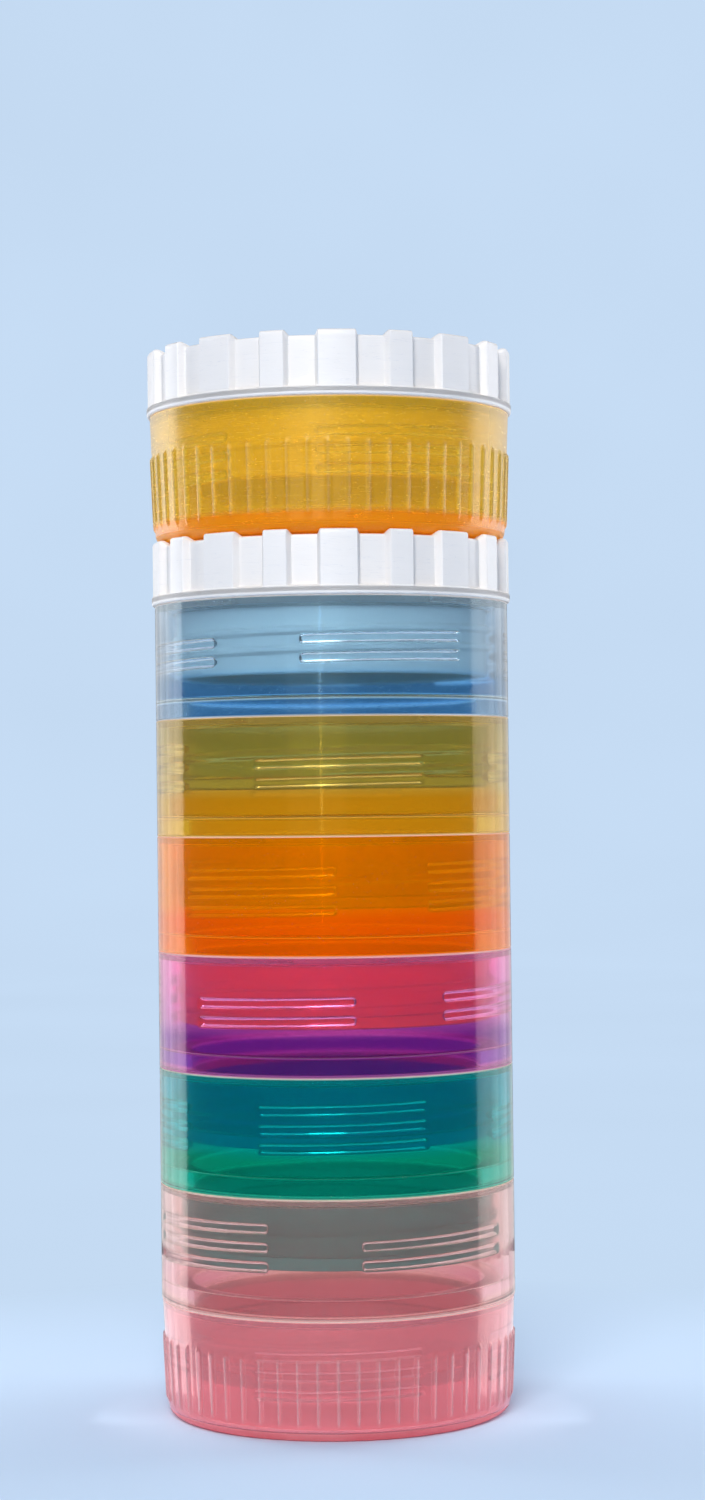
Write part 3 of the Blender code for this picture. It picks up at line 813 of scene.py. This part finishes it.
def makeSeal(name, node, seam):
    # A wedge ring round the boss, its sloping face parallel to the mouth's chamfer.
    gap, fillet = tower["clearance"], smallParts["sealFillet"]
    inner = tower["boss"] + gap
    top = tower["seamGap"] / 2 - gap / 2
    outer = tower["bore"] + tower["mouthChamfer"] - gap * math.sqrt(2)
    outline = roundedOutline([(inner, top - (outer - inner), fillet, "edge"),
                              (outer, top, fillet, "chamfer"),
                              (inner, top, fillet, "chamfer")], smallParts["arcSteps"][0])
    columns = evenColumns(smallParts["sealColumns"])
    radius, height = plainGrid(outline, columns)
    mesh = turnedMesh(name, radius, height + seam, columns, ring=True)
    return addObject(name, mesh, node, node, rubber)


def makeDisc(name, node, body, radius, low, high, material, dent=0.0):
    # A flat disc with rounded edges; a dent sinks a shallow ring track into its lower face.
    middle, half = smallParts["track"]
    corners = [(0, low, 0, "rim"), (radius, low, "edge", "rim"),
               (radius, high, "edge", "rise"), (0, high, 0, 0)]
    outline = roundedOutline(corners, smallParts["arcSteps"][1])
    columns = evenColumns(smallParts["discColumns"])
    r, h = plainGrid(outline, columns)
    track = easeIn(1 - np.abs(r - radius * middle) / (radius * half))
    h = np.where(np.isclose(h, low, atol=tower["same"]), h + dent * track, h)
    return addObject(name, turnedMesh(name, r, h, columns), body, node, material)


def makeMagnet(name, node, seam):
    cover = seam + capShape["face"] - capShape["plate"] - capShape["socketDepth"]
    top = cover + smallParts["coverHeight"]
    makeDisc(name + "MagnetCover", node + "_magnet_cover", node, smallParts["magnetRadius"], cover, top,
             coverPlastic, smallParts["coverDent"])
    low = top + tower["clearance"]
    makeDisc(name + "Magnet", node + "_magnet", node, smallParts["magnetRadius"], low,
             low + smallParts["magnetHeight"], nickel)


# Where edges catch light and where faces are satin
edgeZones = {
    "line": 0.00014,  # half a seam line's width, and the depth of the satin beside it
    "anywhere": 0.03,  # a radius that takes in the whole piece
    "chamferDepth": 0.00090,
    "outerSkin": 0.00028,  # the polished wall outside the satin chamfer
    "footBelow": 0.0001, "footAbove": 0.0010,
    "ledgeDrop": 0.00013,  # middle of the ledge's line below the ledge
    "ledgeLine": 0.00012, "ledgeSatin": 0.00030, "boreSkin": 0.00005, "hair": 0.00002,
}


def plasticFor(name, look, foot, height, ledge=None, jar=None):
    # The rim, the shoulder, the ledge inside a cup and a jar's ridges get a painted highlight line.
    # The rim and its chamfer, the shoulder and the ledge's top are satin.
    rim, shoulder, anywhere = foot + height, foot + tower["seamGap"] / 2, edgeZones["anywhere"]
    half, hair, bore = edgeZones["line"], edgeZones["hair"], tower["bore"] + edgeZones["boreSkin"]
    # Painted highlight lines at the rim, and on a cup at the shoulder and the ledge.
    paintedLines = [(rim - tower["seamGap"] / 2, half, anywhere)]
    satin = [(rim - edgeZones["chamferDepth"], rim, tower["cupRadius"] - edgeZones["outerSkin"]),
             (rim - half, rim, anywhere)]
    if jar:
        satin.append((foot - edgeZones["footBelow"], foot + edgeZones["footAbove"], anywhere))
        # Painted highlight lines on the ridges' crests.
        ridges = {"Count": jarCommon["ridges"], "Half": jarCommon["lineHalf"],
                  "Low": foot + jarCommon["ridgeStart"], "High": rim - jar["band"],
                  "Fade": jarCommon["ridgeFade"]}
        thickAndShade = (foot, jar["floor"] - thickAndShadeZone["floorEdge"], jar["floor"] + thickAndShadeZone["floorEdge"])
    else:
        step = foot + ledge
        paintedLines += [(shoulder, half, anywhere), (step - edgeZones["ledgeDrop"], edgeZones["ledgeLine"], bore)]
        satin += [(shoulder - hair, shoulder + half, anywhere),
                  (step - edgeZones["ledgeSatin"], step + hair, bore)]
        ridges, thickAndShade = None, (foot, *thickAndShadeZone["shoulder"])
    return tintedPlastic(name + "Plastic", dict(plainLook, **look), paintedLines, satin, ridges, thickAndShade)


def plasticForJar(name, foot):
    return plasticFor(name, jarLooks[name], foot, jarShapes[name]["height"], jar=jarShapes[name])


makeJar("baseJar", jarShapes["base"], phases["base"], 0.0, plasticForJar("base", 0.0))
seam, below = jarShapes["base"]["height"], "base"
for colour in ("rose", "green", "purple", "orange", "yellow", "blue"):
    makeSeal(colour + "Seal", colour + "_seal", seam)
    look = dict(zip(lookParts, cupLooks[colour]))
    makeCup(colour, seam, phases[colour], phases[below],
            plasticFor(colour, look, seam, tower["pitch"], cupShape["ledge"]))
    seam, below = seam + tower["pitch"], colour
print("base jar and six cups made, upper seam at", round(seam, 5))

makeSeal("stackCapSeal", "stack_cap_seal", seam)
makeCap("stackCap", "stack_cap", tower["cupRadius"] + capShape["ringOutset"], seam, phases["blue"],
        whitePlastic("stackCapPlastic", capLook))
makeMagnet("stackCap", "stack_cap", seam)
foot = seam + capShape["face"] + tower["clearance"]
makeDisc("pocketJarKeeper", "pocket_jar_keeper", "pocket_jar_keeper", smallParts["keeperRadius"], foot,
         foot + smallParts["keeperHeight"], steel)
makeJar("pocketJar", jarShapes["amber"], phases["amber"], foot, plasticForJar("amber", foot))
pocketSeam = foot + jarShapes["amber"]["height"]
makeSeal("pocketCapSeal", "pocket_cap_seal", pocketSeam)
makeCap("pocketCap", "pocket_cap", jarShapes["amber"]["mouth"] + capShape["ringOutset"], pocketSeam,
        phases["amber"], whitePlastic("pocketCapPlastic", capLook))
makeMagnet("pocketCap", "pocket_cap", pocketSeam)
print("caps, magnets, pocket jar and keeper made")


studio = {
    "floorColour": (0.56, 0.71, 0.90),
    "floorRadius": 0.95, "bend": 0.5, "wallTop": 1.9,
    "stations": (12, 25),  # across the flat floor and round the bend
    "columns": 96, "gloss": {"Roughness": 0.9, "Specular IOR Level": 0.1},
    "clouds": (6, 2),  # scale and detail of the slow drift in the sweep's colour
    "cloudRange": (0.3, 0.7),
    "drift": 0.015,
    "glow": (0.03, 0.10),  # from here outwards the sweep shows its plain colour to the camera
    "glossyGlow": 0.2,  # how much of that plain colour gloss shows
    "through": (0.006, 0.022),  # clear plastic shows it from nearer, at these strengths: bright, dim
    "throughGlow": (0.95, 0.06),
    "throughColour": (0.93, 0.83, 0.90),
    "ringColour": (0.30, 0.52, 0.82),
    "ringFrom": (0.34, 0.41),  # a blue ring across the floor that only clear plastic shows
    "ringTo": (0.70, 0.84),
    # The dim band that clear plastic sees is a painted shadow.
    "dim": (0.06, 0.12),  # heights over which it turns dim, and bright again
    "rise": (0.15, 0.21),
    "world": (0.96, 0.97, 1.0),
    "worldStrength": 0.40,
    "lampColour": (1.0, 0.965, 0.93),
}
# Upright panels: middle azimuth and width in degrees, distance, lowest and highest point, brightness
lamps = {
    "frontPanel": (-10, 38, 1.05, 0.02, 0.42, 0.9),
    "frontStrip": (-7, 0.8, 0.95, 0.02, 0.40, 12.0),
}
# Soft side light, brightest at its front edge: first and last azimuth, brightness
sideStrips = {"left": [(105.5, 116, 3.7), (116, 128, 2.4), (128, 142, 1.4), (142, 160, 0.8)],
              "right": [(96, 108, 3.2), (108, 122, 2.4), (122, 138, 1.5), (138, 160, 0.8)]}
sideFacts = {"distance": 0.13, "low": 0.002, "high": 0.19}
# Low panels close by, for the reflections that dip to the floor before they reach the side light:
# first and last angle round the tower that they light, brightness
lowPanels = {"left": [(56.5, 62, 3.7), (62, 68.5, 2.4), (68.5, 75.5, 1.4), (75.5, 85, 0.8)],
             "right": [(51.5, 58, 3.2), (58, 65, 2.4), (65, 73.5, 1.5), (73.5, 85, 0.8)]}
lowFacts = {"reach": 0.013, "low": 0.0003, "high": 0.0170, "spread": math.radians(90), "gather": 3.84}
keyLamp = {"azimuth": -8, "elevation": 33, "distance": 0.75, "size": 0.30, "brightness": 15.0,
           "aimHeight": 0.07, "colour": (1.0, 0.97, 0.93)}


def sweepMesh():
    # A round bowl: flat floor, a quarter arc, then an upright wall, so every view has the same ground.
    flat = np.linspace(0, studio["floorRadius"], studio["stations"][0])[:-1]
    arc = np.linspace(0, math.pi / 2, studio["stations"][1])
    r = np.concatenate([flat, studio["floorRadius"] + studio["bend"] * np.sin(arc),
                        [studio["floorRadius"] + studio["bend"]]])
    z = np.concatenate([flat * 0, studio["bend"] * (1 - np.cos(arc)), [studio["wallTop"]]])
    count = studio["columns"]
    columns = evenColumns(count)
    rows = np.arange(1, len(r))
    points = np.stack([r[rows, None] * np.sin(columns), -r[rows, None] * np.cos(columns),
                       np.repeat(z[rows, None], count, axis=1)], axis=-1).reshape(-1, 3)
    index = np.arange(len(points)).reshape(len(rows), count)
    near, far = index[:-1], index[1:]
    quads = np.stack([near, far, np.roll(far, -1, axis=1), np.roll(near, -1, axis=1)], axis=-1).reshape(-1)
    fan = np.stack([np.full(count, len(points)), index[0], np.roll(index[0], -1)], axis=-1).ravel()
    sizes = np.concatenate([np.full(len(quads) // 4, 4), np.full(count, 3)])
    return arrayMesh("sweep", np.concatenate([points, [[0, 0, 0]]]), np.concatenate([quads, fan]), sizes)


def makeFloor():
    floor = bpy.data.objects.new("sweep", sweepMesh())
    bpy.context.collection.objects.link(floor)
    material, shader, place = startMaterial("paleSweep", studio["gloss"])
    nodes = material.node_tree.nodes
    blend = mapRange(addNoise(place, *studio["clouds"]), *studio["cloudRange"], 0, 1)
    base = np.array(studio["floorColour"])
    low, high = (np.minimum(base * (1 + drift), 1) for drift in (-studio["drift"], studio["drift"]))
    colour = mixColours(blend, low, high)
    setInputs(shader.inputs, {"Base Color": colour})
    away, height = lengthOf(place), heightAndReach(place)[0]
    # Clear plastic shows the sweep pale and bright along the floor and high up, and between them dim
    # and blue, a painted shadow behind the tower; one blue ring runs across the floor.
    reach, nearer, inner, outer = (mapRange(away, *studio[part], 0, 1)
                                   for part in ("glow", "through", "ringFrom", "ringTo"))
    under, over = (mapRange(height, *studio[part], 0, 1) for part in ("dim", "rise"))
    dim = calculate("SUBTRACT", under, over, clamp=True)
    ring = calculate("SUBTRACT", inner, outer, clamp=True)
    ringed = mixColours(ring, studio["throughColour"], studio["ringColour"])
    path = nodes.new("ShaderNodeLightPath").outputs
    camera, glossy, clear = path["Is Camera Ray"], path["Is Glossy Ray"], path["Is Transmission Ray"]
    seen = mixColours(clear, colour, mixColours(dim, ringed, colour))
    shown = times(calculate("MAXIMUM", camera, glossy), reach)
    share = calculate("MULTIPLY_ADD", clear, nearer, shown, clamp=True)
    direct = calculate("MULTIPLY_ADD", glossy, studio["glossyGlow"], camera)
    through = mapRange(dim, 0, 1, *studio["throughGlow"])
    strength = calculate("MULTIPLY_ADD", clear, through, direct, clamp=True)
    glow = addNode("Emission", {"Color": seen, "Strength": strength})[0]
    both = addNode("MixShader", {0: share, 1: shader.outputs[0], 2: glow})[0]
    setInputs(nodes["Material Output"].inputs, {"Surface": both})
    floor.data.materials.append(material)


def addLamp(name, place, target, size, brightness, colour):
    # A rectangle of light that faces its target. Its power is brightness times pi times area.
    light = bpy.data.lights.new(name, "AREA")
    light.shape, light.size, light.size_y = "RECTANGLE", *size
    light.energy = brightness * math.pi * size[0] * size[1]
    light.color = colour
    lamp = bpy.data.objects.new(name, light)
    bpy.context.collection.objects.link(lamp)
    aim = (Vector(target) - Vector(place)).to_track_quat("-Z", "Y").to_matrix().to_4x4()
    lamp.matrix_world = Matrix.Translation(place) @ aim
    lamp.visible_camera = False
    return lamp


def addPanel(name, middle, width, distance, low, high, brightness):
    # An upright panel that faces the tower's axis.
    turn = math.radians(middle)
    wide = 2 * distance * math.tan(math.radians(width) / 2)
    centre = (low + high) / 2
    return addLamp(name, (distance * math.sin(turn), -distance * math.cos(turn), centre), (0, 0, centre),
                   (wide, high - low), brightness, studio["lampColour"])


def addLowPanel(name, side, first, last, brightness):
    # An upright panel that faces the flank from a short way off, along the way that the camera's rays
    # leave it. Its light is gathered forwards, so it doesn't show in a steep view.
    turn, reach = math.radians(first + last) / 2, lowFacts["reach"]
    flank = tower["cupRadius"] * np.array([math.sin(turn), -math.cos(turn)])
    x, y = flank + reach * np.array([math.sin(2 * turn), -math.cos(2 * turn)])
    wide = (tower["cupRadius"] * math.cos(turn) + 2 * reach) * math.radians(last - first)
    centre = (lowFacts["low"] + lowFacts["high"]) / 2
    lamp = addLamp(name, (side * x, y, centre), (side * flank[0], flank[1], centre),
                   (wide, lowFacts["high"] - lowFacts["low"]), brightness / lowFacts["gather"],
                   studio["lampColour"])
    lamp.data.spread = lowFacts["spread"]
    lamp.visible_transmission = False


def addKeyLamp():
    turn, rise = math.radians(keyLamp["azimuth"]), math.radians(keyLamp["elevation"])
    reach, aimHeight = keyLamp["distance"], keyLamp["aimHeight"]
    place = (reach * math.cos(rise) * math.sin(turn), -reach * math.cos(rise) * math.cos(turn),
             aimHeight + reach * math.sin(rise))
    addLamp("keyLamp", place, (0, 0, aimHeight), (keyLamp["size"], keyLamp["size"]), keyLamp["brightness"],
            keyLamp["colour"])


def makeWorld():
    world = bpy.data.worlds.new("softRoom")
    world.use_nodes = True
    setInputs(world.node_tree.nodes["Background"].inputs,
              {"Color": studio["world"], "Strength": studio["worldStrength"]})
    bpy.context.scene.world = world


cameraFacts = {"lens": 73.2, "sensor": 36, "clip": (0.01, 20), "place": (0.00238, -0.3644, 0.0723),
               "pitch": 0.94, "roll": -0.65}


def makeCamera():
    data = bpy.data.cameras.new("camera")
    data.lens, data.sensor_width, data.sensor_fit = cameraFacts["lens"], cameraFacts["sensor"], "AUTO"
    data.clip_start, data.clip_end = cameraFacts["clip"]
    camera = bpy.data.objects.new("camera", data)
    bpy.context.collection.objects.link(camera)
    up = Matrix.Rotation(math.radians(90 + cameraFacts["pitch"]), 4, "X")
    camera.matrix_world = (Matrix.Translation(cameraFacts["place"]) @ up
                           @ Matrix.Rotation(math.radians(cameraFacts["roll"]), 4, "Z"))
    bpy.context.scene.camera = camera


makeFloor()
for lampName, facts in lamps.items():
    addPanel(lampName, *facts)
for side, label in ((-1, "left"), (1, "right")):
    for number, (first, last, brightness) in enumerate(sideStrips[label]):
        strip = addPanel(label + "Strip" + str(number), side * (first + last) / 2, last - first,
                         sideFacts["distance"], sideFacts["low"], sideFacts["high"], brightness)
        strip.visible_transmission = False
    for number, panelFacts in enumerate(lowPanels[label]):
        addLowPanel(label + "Low" + str(number), side, *panelFacts)
addKeyLamp()
makeWorld()
makeCamera()
bpy.context.scene.view_settings.view_transform = "Standard"
print("floor, lights and camera made")

bpy.context.view_layer.update()
